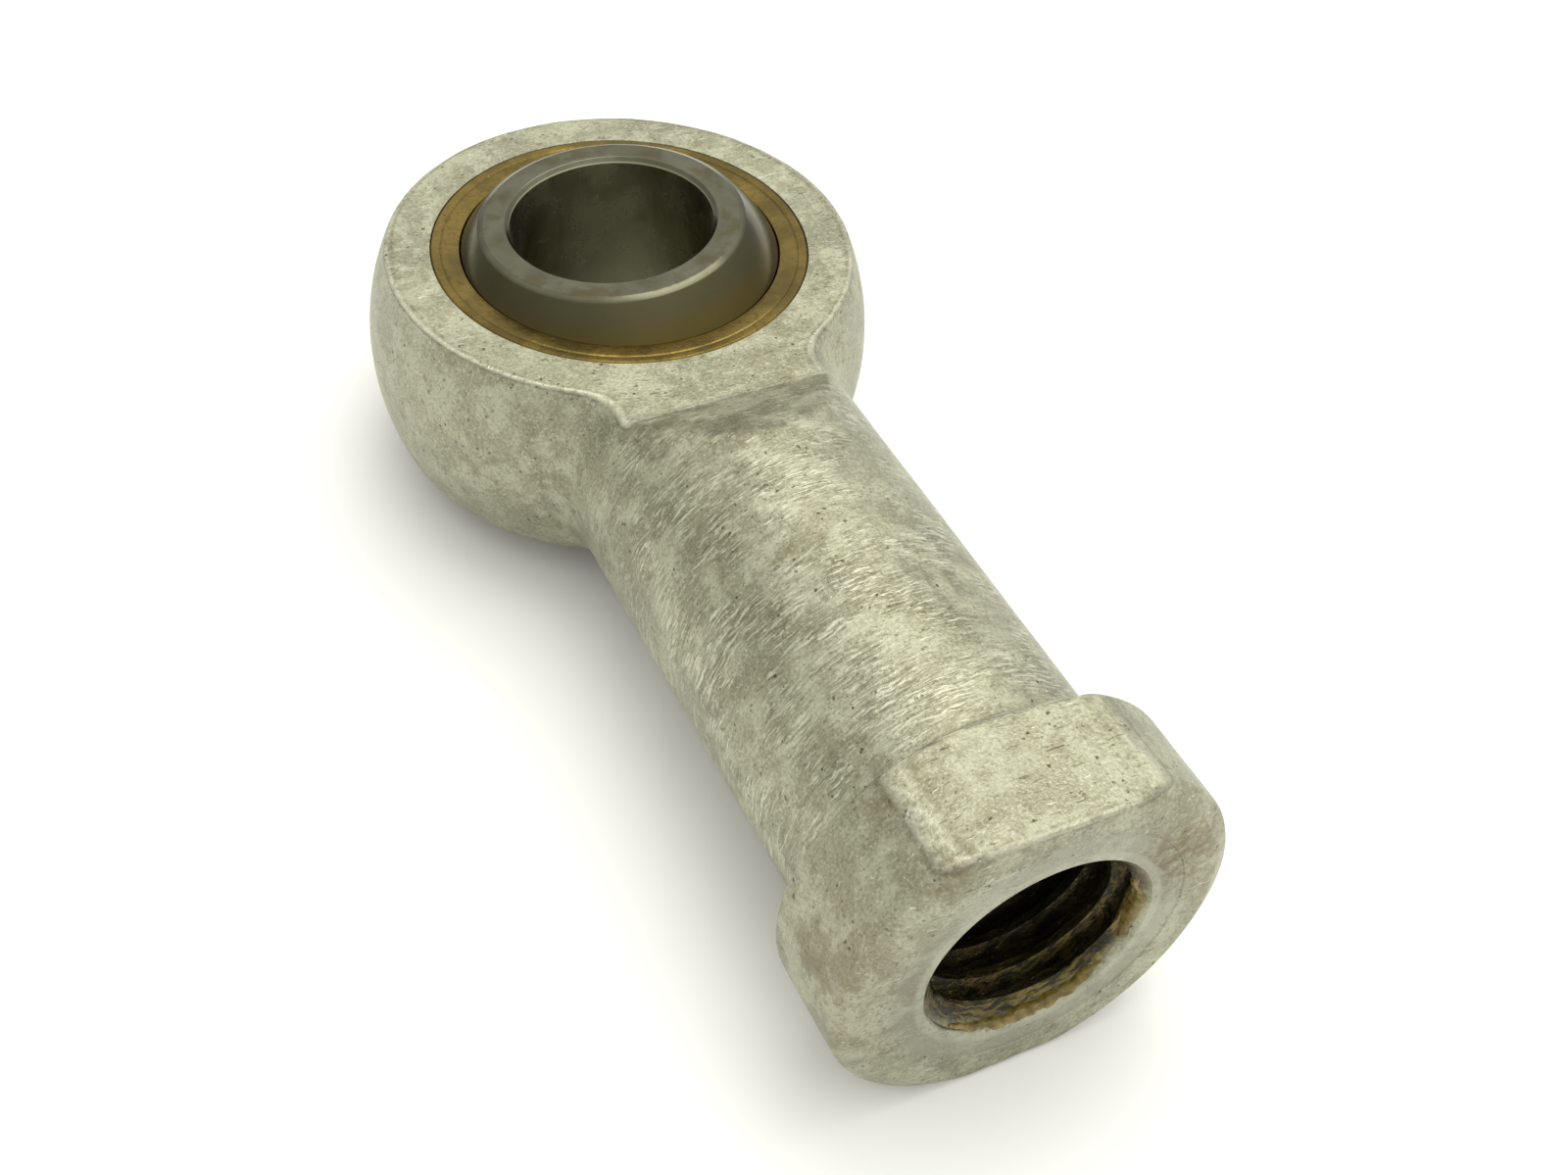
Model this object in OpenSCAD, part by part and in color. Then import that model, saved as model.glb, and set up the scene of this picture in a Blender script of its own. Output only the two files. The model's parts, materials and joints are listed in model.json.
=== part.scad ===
// Female rod end bearing, steel ball on a bronze race, for a 12 mm pin and an M12 stud.
// The ball's centre is the origin. The eye's axis is +Z and the shank runs along -Y.

/* [Ball] */
// Diameter of the bore that the pin goes through
bore_d = 12; // [10:0.5:14]
// Length of the ball along its bore
ball_w = 16; // [14:0.5:19]
// Flat land on each end face, from the bore's wall out to the sphere
face_land = 1.71; // [1.4:0.01:3]
// Chamfer at both ends of the bore
bore_chamfer = 0.4; // [0.2:0.1:0.6]
// Width taken off each end face by the broken edge between it and the sphere
face_chamfer = 0.3; // [0.1:0.1:0.4]
// Slope of that broken edge, degrees
edge_angle = 24; // [15:1:32]
// Lean of the ball away from square, degrees
ball_lean = 4; // [0:0.5:10]
// Heading that the ball's upper end leans to, degrees from +X
ball_heading = 167; // [0:1:360]

/* [Race] */
// Radial running clearance between the ball and its seat
seat_gap = 0.03; // [0.01:0.01:0.08]
// Wall of the bronze race at the ball's widest point
race_wall = 1.06; // [0.9:0.02:2]
// How far the housing's swaged lip closes in over the race
lip_overlap = 1; // [0.6:0.05:1.3]
// Length along the bore of the tapered lip
lip_taper = 1.5; // [1:0.1:2.5]
// Depth of the race's rim below the eye's face
race_recess = 0.05; // [0.05:0.05:0.5]
// Slope of the race's end face down towards the ball, degrees
funnel_angle = 12; // [5:1:20]
// Width of the grease groove around the race
groove_w = 1.6; // [1.5:0.1:2.4]
// Depth of the grease groove
groove_depth = 0.35; // [0.2:0.05:0.5]

/* [Eye] */
// Thickness of the eye over its milled faces
eye_w = 12; // [10:0.5:14]
// Wall of the eye around the race at the crown
eye_wall = 2.9; // [2.6:0.1:5]
// How far the milled faces run on past the eye's radius
face_past = 0.1; // [0:0.1:3]
// Slope of the cutter's run-out at the end of each face, degrees
runout_angle = 25; // [20:1:45]
// Fillet between the eye and the shank
neck_fillet = 3; // [1:0.5:4]

/* [Shank] */
// Diameter of the round shank
shank_d = 17.1; // [16.5:0.1:20]
// Distance from the ball's centre to the end face
reach = 50; // [48:1:70]
// Diameter of the wrench collar
collar_d = 21.2; // [20.5:0.1:26]
// Length of the wrench collar with the slope behind it
collar_len = 7.2; // [5:0.1:9]
// Distance across the two wrench flats, a 19 mm wrench with its play
flats_w = 18.8; // [18:0.1:20]
// How far the chamfer at the collar's free end goes in from its edge
collar_chamfer = 1; // [0.5:0.1:1.4]
// Slope of that chamfer back from the end face, degrees
chamfer_angle = 30; // [15:1:45]
// Length along the shank of the slope behind the collar
collar_back = 0.95; // [0.2:0.05:1.2]

/* [Thread] */
// Nominal diameter of the female thread
thread_d = 12; // [10:0.5:14.5]
// Pitch of the thread
thread_pitch = 1.75; // [1.25:0.25:2]
// Depth of the straight tapping hole
hole_depth = 26; // [20:1:28]
// Point angle of the drill that leaves the hole's cone, degrees
drill_angle = 118; // [90:1:140]
// Width of the flat that the drill's chisel edge leaves
chisel_d = 1.2; // [0.8:0.1:1.6]
// How much wider in radius than the thread its countersunk mouth is
mouth_margin = 0.15; // [0.1:0.05:0.6]

/* [Grease nipple] */
// Diameter of the stem pressed into the crown
stem_d = 3; // [2.8:0.1:3.6]
// Diameter of the head
head_d = 4.4; // [4:0.1:5.5]
// Height of the head above its spot face
head_h = 1.1; // [0.9:0.1:1.3]
// Depth of the spot face below the crown
spot_depth = 0.2; // [0.15:0.05:0.3]
// Length of the stem below the spot face
stem_l = 2.15; // [2:0.05:2.2]
// Diameter of the check ball
check_d = 1.6; // [1.4:0.1:1.7]
// Radial play of the check ball in its chamber
check_gap = 0.1; // [0.05:0.05:0.15]
// Clearance between the resting check ball and its seat
check_seat_gap = 0.02; // [0.01:0.01:0.05]
// Diameter of the mouth that the check ball closes
check_mouth_d = 1.1; // [0.9:0.1:1.2]
// Thickness of the head above the check ball's seat
mouth_depth = 0.3; // [0.2:0.05:0.4]
// Thickness of the stem's closed-in lower end
foot_t = 0.3; // [0.2:0.05:0.4]
// Diameter of the grease passage through foot, eye and race
passage_d = 1; // [0.8:0.1:1.2]
// Diameter of the spring's wire
wire_d = 0.18; // [0.12:0.02:0.2]
// Turns of the spring
spring_turns = 3; // [2:0.5:3.5]

/* [Hidden] */
$fn = 96;

cut = 1;                                     // how far a cutter stands out of what it cuts
touch = 0.01;                                // gap between the spring and what it rests on
wire_sides = 8;                              // sides of the spring's wire
turn_steps = 24;                             // rings of wire points in one turn

bore_r = bore_d / 2;
face_r = bore_r + face_land;
ball_r = norm([face_r, ball_w / 2]);         // the sphere that meets both end faces at face_r
edge_r = face_r - face_chamfer;              // outer radius of the flat of an end face
edge_run_z = ball_w / 2 - (ball_r + cut - edge_r) * tan(edge_angle);  // its cone, run out past the sphere
seat_r = ball_r + seat_gap;
race_r = seat_r + race_wall;
eye_r = race_r + eye_wall;
shank_r = shank_d / 2;
collar_r = collar_d / 2;

rim_z = eye_w / 2 - race_recess;             // height of the race's rim
rim_r = race_r - lip_overlap;                // radius of the race's rim, inside the lip
straight_z = rim_z - lip_taper;              // half length of the race's cylindrical middle

face_end = eye_r + face_past;                // distance from the centre to the end of a milled face
runout = (flats_w - eye_w) / 2 / tan(runout_angle);
neck_axis = sqrt(pow(eye_r + neck_fillet, 2) - pow(shank_r + neck_fillet, 2));
neck_centre = [shank_r + neck_fillet, -neck_axis];
neck_bite = 0.02;                            // makes the fillet cross the walls instead of only touching them
neck_on_eye = neck_centre * eye_r / (eye_r + neck_fillet);

tap_r = (thread_d - 1.0825 * thread_pitch) / 2 + 0.045;  // ISO minor radius and a tapping allowance
mouth_r = thread_d / 2 + mouth_margin;
chisel_r = chisel_d / 2;
point_l = (tap_r - chisel_r) / tan(drill_angle / 2);

spot_y = eye_r - spot_depth;                 // plane that the nipple's head sits on
head_top = spot_y + head_h;
stem_end = spot_y - stem_l;
check_r = check_d / 2;
check_mouth_r = check_mouth_d / 2;
seat_y = head_top - mouth_depth;             // where the mouth opens into the chamber
check_y = seat_y - sqrt(pow(check_r, 2) - pow(check_mouth_r, 2)) - check_seat_gap;
chamber_r = check_r + check_gap;
chamber_end = stem_end + foot_t;
spring_low = chamber_end + touch + wire_d / 2;
spring_r = check_r * 0.72;                   // the coil bears on the ball's lower half
spring_high = check_y - sqrt(pow(check_r + wire_d / 2 + touch, 2) - pow(spring_r, 2));

// Turns a shape that was drawn around Z so that it lies along Y, with its top towards +Y.
module along_y() { rotate([-90, 0, 0]) children(); }

// Leans a shape by the ball's lean, towards the ball's heading.
module leaned() {
    rotate([0, 0, ball_heading]) rotate([0, ball_lean, 0]) rotate([0, 0, -ball_heading]) children();
}

// The half outline of the turned body: x is the radius and y runs along the shank.
module turned_outline() {
    intersection() {
        circle(r = eye_r);
        translate([0, -eye_r]) square([eye_r, 2 * eye_r]);
    }
    translate([0, -reach]) square([shank_r, reach]);
    difference() {
        polygon([[0, neck_centre.y], neck_centre, neck_on_eye, [0, neck_on_eye.y]]);
        translate(neck_centre) circle(r = neck_fillet + neck_bite);
    }
    translate([0, -reach]) polygon([
        [0, 0], [collar_r - collar_chamfer, 0], [collar_r, collar_chamfer * tan(chamfer_angle)],
        [collar_r, collar_len - collar_back], [shank_r, collar_len], [0, collar_len]
    ]);
}

// What milling leaves: the eye's faces, their run-outs and the wrench flats, seen along X.
module milled_outline() {
    half = [
        [eye_r + cut, eye_w / 2], [-face_end, eye_w / 2],
        [-face_end - runout, flats_w / 2], [-reach - cut, flats_w / 2]
    ];
    polygon(concat(half, [for (i = [len(half) - 1 : -1 : 0]) [half[i].x, -half[i].y]]));
}

// The race's outside, which is also the inside of the eye that is swaged around it.
module race_outline(inner_r, inner_z, end_z) {
    polygon([
        [inner_r, -end_z], [rim_r, -inner_z], [race_r, -straight_z],
        [race_r, straight_z], [rim_r, inner_z], [inner_r, end_z]
    ]);
}

module rod_end_body() {
    color("silver") difference() {
        intersection() {
            along_y() rotate_extrude() turned_outline();
            rotate([90, 0, 90]) linear_extrude(height = 2 * eye_r + 2 * cut, center = true) milled_outline();
        }
        // seat of the race, open at both faces
        rotate_extrude() race_outline(0, rim_z, rim_z);
        cylinder(r = rim_r, h = eye_w + 2 * cut, center = true);
        // tapping hole, drill point and countersunk mouth
        translate([0, -reach, 0]) along_y() {
            translate([0, 0, -cut]) cylinder(r = tap_r, h = hole_depth + cut);
            translate([0, 0, hole_depth]) cylinder(r1 = tap_r, r2 = chisel_r, h = point_l);
            translate([0, 0, -cut]) cylinder(r1 = mouth_r + cut, r2 = tap_r, h = mouth_r - tap_r + cut);
        }
        // spot face, stem hole and grease passage of the nipple
        along_y() {
            translate([0, 0, spot_y]) cylinder(d = head_d, h = head_h + cut);
            translate([0, 0, stem_end]) cylinder(d = stem_d, h = stem_l + cut);
            translate([0, 0, seat_r]) cylinder(d = passage_d, h = stem_end - seat_r + cut);
        }
    }
}

module outer_race() {
    color("darkgoldenrod") difference() {
        rotate_extrude() race_outline(bore_r, rim_z, rim_z - (rim_r - bore_r) * tan(funnel_angle));
        sphere(r = seat_r);
        difference() {
            cylinder(r = race_r + cut, h = groove_w, center = true);
            cylinder(r = race_r - groove_depth, h = groove_w + cut, center = true);
        }
        along_y() cylinder(d = passage_d, h = race_r + cut);
    }
}

module inner_ring() {
    color("slategray") leaned() difference() {
        intersection() {
            sphere(r = ball_r);
            rotate_extrude() polygon([
                [0, -ball_w / 2], [edge_r, -ball_w / 2], [ball_r + cut, -edge_run_z],
                [ball_r + cut, edge_run_z], [edge_r, ball_w / 2], [0, ball_w / 2]
            ]);
        }
        cylinder(r = bore_r, h = ball_w + 2 * cut, center = true);
        for (s = [0, 1]) mirror([0, 0, s]) translate([0, 0, ball_w / 2 - bore_chamfer])
            cylinder(r1 = bore_r, r2 = bore_r + bore_chamfer + cut, h = bore_chamfer + cut);
    }
}

module nipple_shell() {
    color("khaki") along_y() rotate_extrude() difference() {
        polygon([
            [0, stem_end], [stem_d / 2, stem_end], [stem_d / 2, spot_y], [head_d / 2, spot_y],
            [head_d / 2, spot_y + head_h / 3], [check_mouth_r + mouth_depth, head_top], [0, head_top]
        ]);
        translate([0, stem_end - cut]) square([passage_d / 2, foot_t + 2 * cut]);
        translate([0, chamber_end]) square([chamber_r, seat_y - chamber_end - (chamber_r - check_mouth_r)]);
        polygon([
            [0, chamber_end], [chamber_r, seat_y - (chamber_r - check_mouth_r)],
            [check_mouth_r, seat_y], [check_mouth_r, head_top + cut], [0, head_top + cut]
        ]);
    }
}

module nipple_check_ball() {
    color("lightgray") translate([0, check_y, 0]) sphere(d = check_d);
}

// A round wire wound into a coil: ring i of wire points stands at angle 360 * i / turn_steps.
module nipple_spring() {
    rings = round(spring_turns * turn_steps);
    points = [
        for (i = [0 : rings], j = [0 : wire_sides - 1])
            let (turn = 360 * i / turn_steps, side = 360 * j / wire_sides)
            let (r = spring_r + wire_d / 2 * cos(side))
            let (h = spring_low + (spring_high - spring_low) * i / rings)
            [r * cos(turn), r * sin(turn), h + wire_d / 2 * sin(side)]
    ];
    walls = [
        for (i = [0 : rings - 1], j = [0 : wire_sides - 1])
            let (a = i * wire_sides + j, b = i * wire_sides + (j + 1) % wire_sides)
            [a, b, b + wire_sides, a + wire_sides]
    ];
    caps = [[for (j = [wire_sides - 1 : -1 : 0]) j], [for (j = [0 : wire_sides - 1]) rings * wire_sides + j]];
    color("gray") along_y() polyhedron(points = points, faces = concat(walls, caps), convexity = 6);
}

rod_end_body();
outer_race();
inner_ring();
nipple_shell();
nipple_check_ball();
nipple_spring();
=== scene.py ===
# %% [markdown]
# # A rod end bearing
#
# A rod end joins a threaded rod to a pin. A steel ball with a through bore sits in a
# bronze race, the race is swaged into a round eye, and the eye grows out of a round shank
# with a threaded hole and a collar for a wrench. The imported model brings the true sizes
# and the bodies that move. Everything below puts a finished skin over it, piece by piece.

# %% Load the frame
import json
import math

import bpy
import numpy as np
from mathutils import Matrix, Vector


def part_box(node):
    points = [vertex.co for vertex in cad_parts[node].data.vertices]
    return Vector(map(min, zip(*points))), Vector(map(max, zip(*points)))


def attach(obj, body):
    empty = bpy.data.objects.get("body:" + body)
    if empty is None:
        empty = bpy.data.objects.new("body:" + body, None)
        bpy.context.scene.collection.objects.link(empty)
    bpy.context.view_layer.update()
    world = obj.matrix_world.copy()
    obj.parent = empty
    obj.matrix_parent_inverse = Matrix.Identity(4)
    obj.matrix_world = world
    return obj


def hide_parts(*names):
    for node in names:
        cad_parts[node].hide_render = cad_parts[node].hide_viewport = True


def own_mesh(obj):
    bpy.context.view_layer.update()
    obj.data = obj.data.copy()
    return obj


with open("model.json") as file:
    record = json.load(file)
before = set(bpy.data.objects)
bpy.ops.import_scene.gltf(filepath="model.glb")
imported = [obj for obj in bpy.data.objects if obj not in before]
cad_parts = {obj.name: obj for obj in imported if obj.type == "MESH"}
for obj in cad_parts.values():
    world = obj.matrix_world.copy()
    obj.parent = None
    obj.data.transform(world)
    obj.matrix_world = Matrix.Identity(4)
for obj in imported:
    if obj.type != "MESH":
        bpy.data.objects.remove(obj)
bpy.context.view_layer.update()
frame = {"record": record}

mm = 0.001

# %% [markdown]
# ## Sizes
#
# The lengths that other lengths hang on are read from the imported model: a node's box gives
# the eye, the reach of the shank and the ball, and the record gives the bore and its axis.
# What a box can't tell, such as an edge's radius or the thread's size, is written down as a
# number. All are in millimetres, and a mesh is scaled to metres when it is made.

# %% Driving sizes
body_high = np.array(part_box("rod_end_body")[1]) / mm
race_high = np.array(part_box("outer_race")[1]) / mm
ball_high = np.array(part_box("inner_ring")[1]) / mm
nipple_low, nipple_high = (np.array(corner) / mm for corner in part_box("nipple_shell"))
mounts = {mount["name"]: mount for mount in frame["record"]["mounts"]}

eye_r = body_high[0]
reach = -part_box("rod_end_body")[0][1] / mm
flat_z = body_high[2]
race_r, rim_z = race_high[0], race_high[2]
ball_r = ball_high[0]
bore_r = mounts["pin_bore"]["dims"]["r_mm"]
ball_axis = Vector(mounts["pin_bore"]["axis"])

eye_z = 6.0                  # half the eye's thickness
shank_r = 8.55
neck_fillet = 3.0            # radius between the eye and the shank
collar_r = 10.6
collar_len = 7.2
run_out = 0.1                # how far past the eye the milling cutter ran
face_end = eye_r + run_out
ball_gap = 0.03
seat_r = ball_r + ball_gap
print("eye", round(eye_r, 3), "ball", round(ball_r, 3), "race", round(race_r, 3), "reach", round(reach, 2))

# %% [markdown]
# ## Camera
#
# A close look down at the part, from the threaded end and a little to its left. The camera
# is placed on a sphere around a point on the shank's crest, and is turned about its own
# line of sight by a few degrees, because a hand holds it.

# %% The camera
look_at = Vector((0.414, -22.56, -2.069))
from_front = math.radians(29.92)
above = math.radians(45.21)
distance = 108.39
roll = math.radians(5.42)
outward = Vector((
    -math.sin(from_front) * math.cos(above),
    -math.cos(from_front) * math.cos(above),
    math.sin(above)))
lens = bpy.data.cameras.new("close_view")
lens.sensor_width = 36
lens.lens = 44.852
lens.clip_start = 0.005
camera = bpy.data.objects.new("close_view", lens)
bpy.context.scene.collection.objects.link(camera)
turned_level = outward.to_track_quat("Z", "Y").to_matrix().to_4x4()
camera.matrix_world = (
    Matrix.Translation((look_at + outward * distance) * mm)
    @ turned_level
    @ Matrix.Rotation(roll, 4, "Z"))
bpy.context.scene.camera = camera
print("camera stands at, mm:", [round(v / mm, 1) for v in camera.matrix_world.translation])

# %% [markdown]
# ## Meshes from grids
#
# Almost every surface of a turned part is a grid: one direction goes along the outline and
# the other goes round. So one function turns a grid of points into a closed mesh, and the
# pieces only have to say where their points are. A corner of a real outline is never
# sharp, so a second function rounds the corners of a broken line before it is spun.


# %% From a grid to an object
def closed_mesh(name, grid, start=None, end=None, loop_rows=False, marks=None, sharp=40):
    """A closed mesh from rows of points in millimetres. Every row closes on itself. The first
    and last row close either on a pole, start or end, or on each other with loop_rows. Faces
    are turned outwards: the mesh's volume, the sum of a . (b x c) / 6 over its triangles,
    has to come out positive. marks holds named values from 0 to 1 for the grid's points."""
    rows, around = grid.shape[:2]
    points = grid.reshape(-1, 3)
    last = rows if loop_rows else rows - 1
    i = (np.arange(last) * around)[:, None]
    below = (np.arange(1, last + 1) % rows * around)[:, None]
    j = np.arange(around)[None, :]
    beside = (j + 1) % around
    quads = np.stack([i + j, i + beside, below + beside, below + j], axis=-1).reshape(-1, 4)
    fans = []
    for pole, row, turn in ((start, 0, -1), (end, rows - 1, 1)):
        if pole is None:
            continue
        ring = np.stack([j[0], beside[0]], axis=-1)[:, ::turn] + row * around
        fans.append(np.column_stack([ring, np.full(around, len(points))]))
        points = np.vstack([points, pole])
    faces = quads.tolist() + [fan for group in fans for fan in group.tolist()]
    triangles = np.vstack([quads[:, [0, 1, 2]], quads[:, [0, 2, 3]], *fans])
    a, b, c = (points[triangles[:, k]] for k in range(3))
    if np.einsum("ij,ij->i", a, np.cross(b, c)).sum() < 0:
        faces = [face[::-1] for face in faces]
    mesh = bpy.data.meshes.new(name)
    mesh.from_pydata((points * mm).tolist(), [], faces)
    for label, values in (marks or {}).items():
        spread = np.zeros(len(points), np.float32)
        spread[:values.size] = values.ravel()
        mesh.attributes.new(label, "FLOAT", "POINT").data.foreach_set("value", spread)
    mesh.shade_smooth()
    mesh.set_sharp_from_angle(angle=math.radians(sharp))
    piece = bpy.data.objects.new(name, mesh)
    bpy.context.scene.collection.objects.link(piece)
    print(name, "has", len(points), "points and", len(faces), "faces")
    return piece


# %% Outlines
def rounded(corners, radii, step=12):
    """The broken line through corners, each corner rounded by its own radius. The arc meets
    both sides at radius * tan(turn / 2) from the corner, and has a point every step degrees."""
    corners = np.asarray(corners, float)
    line = [corners[:1]]
    for before, corner, after, radius in zip(corners[:-2], corners[1:-1], corners[2:], radii):
        way_in = (corner - before) / np.linalg.norm(corner - before)
        way_out = (after - corner) / np.linalg.norm(after - corner)
        side = way_in[0] * way_out[1] - way_in[1] * way_out[0]
        turn = math.atan2(side, way_in @ way_out)
        if radius == 0 or abs(turn) < 1e-3:
            line.append(corner[None])
            continue
        first = corner - way_in * radius * math.tan(abs(turn) / 2)
        inward = np.array([-way_in[1], way_in[0]]) * math.copysign(1, turn)
        swing = np.linspace(0, abs(turn), max(2, math.ceil(math.degrees(abs(turn)) / step)) + 1)[:, None]
        line.append(first + radius * (way_in * np.sin(swing) + inward * (1 - np.cos(swing))))
    line.append(corners[-1:])
    return np.vstack(line)


def spaced(line, step):
    """The same line, with points put in evenly where two neighbours are more than step apart."""
    parts = [line[:1]]
    for a, b in zip(line[:-1], line[1:]):
        share = np.linspace(0, 1, max(1, math.ceil(np.linalg.norm(b - a) / step)) + 1)[1:, None]
        parts.append(a + (b - a) * share)
    return np.vstack(parts)


def spun(line, around, axis="z"):
    """Rows of points: each point (radius, height) of the line goes round the axis in a circle."""
    turn = np.linspace(0, 2 * np.pi, around, endpoint=False)
    radius, height = line[:, :1], line[:, 1:] + 0 * turn
    if axis == "z":
        return np.stack([radius * np.cos(turn), radius * np.sin(turn), height], axis=-1)
    return np.stack([radius * np.cos(turn), height, radius * np.sin(turn)], axis=-1)


def ripple(points, length, seed, waves=14):
    """Smooth unevenness from about -1 to 1: the mean of sine waves that run in random
    directions, with wavelengths around length."""
    draw = np.random.default_rng(seed)
    ways = draw.normal(size=(waves, 3))
    ways *= (draw.uniform(0.6, 1.7, waves) / np.linalg.norm(ways, axis=1))[:, None]
    phase = draw.uniform(0, 2 * np.pi, waves)
    return np.sin(points @ ways.T * (2 * np.pi / length) + phase).mean(axis=-1) * 2.2


def soft_min(a, b, reach_mm):
    """The smaller of two lengths, with the step between them filleted: where they differ by
    less than reach_mm, up to a quarter of it is taken off."""
    near = np.clip(1 - np.abs(a - b) / reach_mm, 0, None)
    return np.minimum(a, b) - reach_mm * near * near / 4


# %% Cutting
def carve(piece, cutter):
    """Takes the cutter's volume out of the piece for good, and throws the cutter away."""
    cut = piece.modifiers.new("carve", "BOOLEAN")
    cut.operation = "DIFFERENCE"
    cut.solver = "EXACT"
    cut.object = cutter
    graph = bpy.context.evaluated_depsgraph_get()
    carved = bpy.data.meshes.new_from_object(piece.evaluated_get(graph))
    piece.modifiers.clear()
    whole = piece.data
    piece.data = carved
    bpy.data.meshes.remove(whole)
    bpy.data.objects.remove(cutter)
    print("carved", piece.name, "now has", len(carved.polygons), "faces")


# %% [markdown]
# ## The housing's blank
#
# The housing starts as a turned blank: a ball-shaped eye, a short fillet, the shank, and a
# collar with a chamfered end. Then it is milled flat above and below, over the eye and over
# the collar. A blank that is only spun has no flats, and a cut with boxes leaves edges
# that are too sharp. So each row of the grid works out both at once: in every direction
# the surface lies at the turned radius or at the milled plane, whichever is nearer, and
# soft_min rolls the edge between them as tumbling and plating do.

# %% The blank's turned outline
neck_y = -math.sqrt((eye_r + neck_fillet) ** 2 - (shank_r + neck_fillet) ** 2)
neck_turn = math.atan2(shank_r + neck_fillet, neck_y)
crown = np.radians(np.concatenate([
    np.linspace(1, 18, 9), np.linspace(19, 31, 32), np.linspace(32, math.degrees(neck_turn), 80)]))
eye_line = eye_r * np.column_stack([np.sin(crown), np.cos(crown)])
bend = np.linspace(neck_turn - math.pi, -math.pi / 2, 12)[1:-1]
neck_line = np.column_stack([
    shank_r + neck_fillet + neck_fillet * np.sin(bend),
    neck_y + neck_fillet * np.cos(bend)])
cutter_stop = np.column_stack([np.full(13, shank_r), np.linspace(0.6, -0.6, 13) - face_end])
shank_from = -17.0           # where the plain shank begins
back_bevel = 0.95            # length of the collar's bevel towards the shank
front_bevel = 0.58           # length of its bevel towards the end
end_r, end_inner_r = 9.45, 8.7
faced_r = 7.8                # the ring that is faced off round the thread's mouth
recess = 0.05                # and its depth
heel_y = collar_len - back_bevel - reach
collar_line = rounded(
    [(shank_r, shank_from), (shank_r, collar_len - reach), (collar_r, heel_y),
     (collar_r, front_bevel - reach), (collar_r - 1, -reach), (end_r + 0.01, -reach)],
    [0.5, 0.5, 0.45, 0.5])
end_line = np.column_stack([np.linspace(end_r, end_inner_r, 10), np.full(10, -reach)])
centre_line = [(faced_r + recess, -reach), (faced_r, recess - reach), (0.3, recess - reach)]
outline = spaced(np.vstack([
    eye_line, neck_line, [(shank_r, neck_y)], cutter_stop, collar_line, end_line, centre_line]), 0.6)
print("the outline has", len(outline), "points")


# %% The milled planes
def milled_height(y):
    """Half the thickness left by milling: the eye's faces, then the cutter's run-out. It climbs
    at 25 degrees past the eye, and the start is rounded as softness * log(1 + e^(climb /
    softness))."""
    softness = 0.03
    climb = (-face_end - y) * np.tan(np.radians(25))
    return eye_z + np.logaddexp(0, climb / softness) * softness


flats = [(math.radians(1.2), -3.0), (math.radians(-11), -3.2)]  # lean, and x where it is flat_z high
mid_shank = -30.0


def milled_reach(y, turn):
    """How far from the axis the milled planes lie in each direction. A plane whose normal
    leans by a from +Z, at a distance d, is met at d / sin(turn + a). Over the collar the
    upper flat dips to the right and has a second, pressed facet on its left."""
    over_eye = milled_height(y) / np.maximum(np.abs(np.sin(turn)), 1e-3)
    nearness = np.stack([
        np.sin(turn + lean) / (flat_z * math.cos(lean) + x * math.sin(lean)) for lean, x in flats
    ] + [-np.sin(turn) / flat_z])
    sharpness = 1800
    top = nearness.max(axis=0)
    soft = top + np.log(np.exp((nearness - top) * sharpness).sum(axis=0)) / sharpness
    over_collar = 1 / np.maximum(soft, 1e-3)
    return np.where(y > mid_shank, over_eye, over_collar)


# %% The blank's grid
quarter = 52
y_row, r_row = outline[:, 1:], outline[:, :1]
eye_corner = np.arcsin(np.minimum(milled_height(y_row) / r_row, 0.985))
blend_from, blend_len = -22.0, 18.0      # the corners pass from the eye's places to the collar's
to_collar = np.clip((blend_from - y_row) / blend_len, 0, 1)
to_collar = to_collar * to_collar * (3 - 2 * to_collar)
collar_corners = [60.5, 122.8, 180 + 62.5, 360 - 62.5]
corner_turns = [
    base + side * eye_corner * (1 - to_collar) + (math.radians(goal) - base) * to_collar
    for base, side, goal in zip((0, math.pi, math.pi, 2 * math.pi), (1, -1, 1, -1), collar_corners)]
share = (1 - np.cos(np.linspace(0, math.pi, quarter, endpoint=False))) / 2
starts = [corner_turns[3] - 2 * math.pi] + corner_turns[:3]
turn = np.hstack([a + (b - a) * share for a, b in zip(starts, corner_turns)])

rough_place = np.stack([r_row * np.cos(turn), y_row + 0 * turn, r_row * np.sin(turn)], axis=-1)
plane_r = milled_reach(y_row, turn)
edge_roll = 0.3 * (1 + 0.35 * ripple(rough_place, 3.0, seed=4))
skin_r = soft_min(r_row + 0 * turn, plane_r, edge_roll)
unevenness = 0.022 * ripple(rough_place, 11, seed=5) + 0.008 * ripple(rough_place, 3.2, seed=6)
flat_within = 8.0            # the faced ring has none of it
skin_r += np.where(r_row > flat_within, unevenness, 0)
blank = np.stack([skin_r * np.cos(turn), y_row + 0 * turn, skin_r * np.sin(turn)], axis=-1)


# %% Rolling the collar's front edges
def rolled(inside, from_end, radius):
    """Two distances from the two planes of an edge, moved onto a quarter circle wherever both
    are less than radius."""
    a, b = radius - inside, radius - from_end
    stretch = radius / np.maximum(np.hypot(a, b), 1e-6)
    near = (a > 0) & (b > 0) & (stretch < 1)
    return np.where(near, radius - a * stretch, inside), np.where(near, radius - b * stretch, from_end)


inside = (plane_r - skin_r) * np.abs(np.sin(turn))
from_end = blank[..., 1] + reach
roll = 0.24 * (1 + 0.5 * ripple(blank, 1.7, seed=7))
new_inside, new_from_end = rolled(np.maximum(inside, 0), np.maximum(from_end, 0), roll)
at_front = y_row < -reach + 1.2
drop = np.where(at_front, new_inside - np.maximum(inside, 0), 0)
blank[..., 2] -= np.sign(blank[..., 2]) * drop
blank[..., 1] += np.where(at_front, new_from_end - np.maximum(from_end, 0), 0)

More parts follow.
